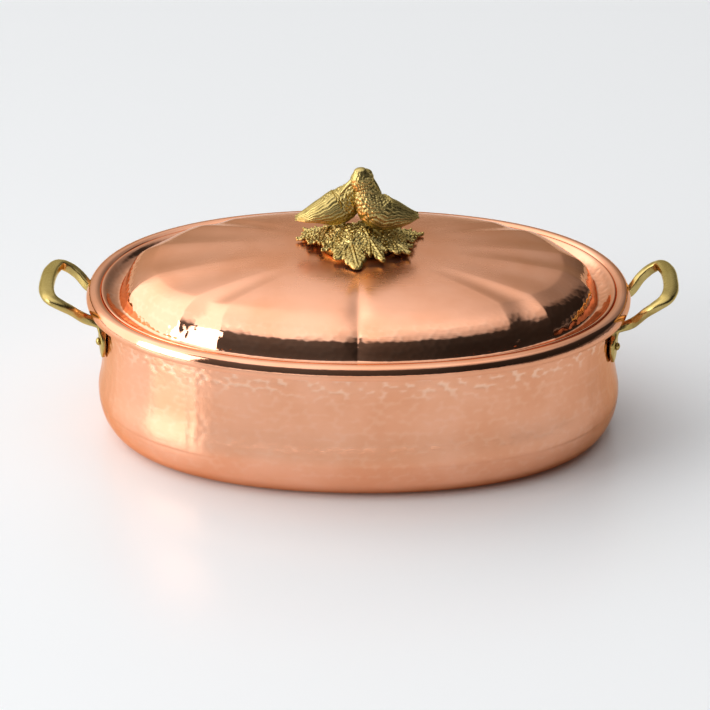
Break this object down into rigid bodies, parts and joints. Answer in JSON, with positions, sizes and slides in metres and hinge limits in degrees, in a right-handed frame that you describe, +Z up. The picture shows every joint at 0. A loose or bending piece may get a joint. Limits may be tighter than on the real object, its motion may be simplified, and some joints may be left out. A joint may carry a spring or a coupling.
{
  "type": "roasting pan with lid",
  "caption": "Oval hammered copper roasting pan with a tinned inside, a lobed domed lift-off lid, riveted brass loop handles and a cast brass bird-and-leaf finial.",
  "frame": {"origin": "centre of the flat base, on the surface the pan stands on", "axes": "+X along the pan towards the right-hand handle, +Y towards the back, +Z up"},
  "size_m": [0.424, 0.2534, 0.1865],
  "materials": {
    "copper": "hand-hammered copper, polished",
    "tin": "hand-wiped tin, satin",
    "brass": "cast brass, softly polished, aged in the recesses"
  },
  "bodies": {
    "pan": {"pan_body": "copper", "pan_lining": "tin", "left_handle": "brass", "right_handle": "brass", "left_front_rivet": "brass", "left_back_rivet": "brass", "right_front_rivet": "brass", "right_back_rivet": "brass"},
    "lid": {"lid_shell": "copper", "lid_lining": "tin", "leaf_bed": "brass", "right_bird": "brass", "left_bird": "brass", "finial_stud": "brass", "finial_washer": "brass", "finial_nut": "brass"}
  },
  "joints": [
    {"name": "lid_lift", "type": "slide", "parent": "pan", "child": "lid", "axis": [0, 0, 1], "range_m": [0, 0.15]}
  ]
}
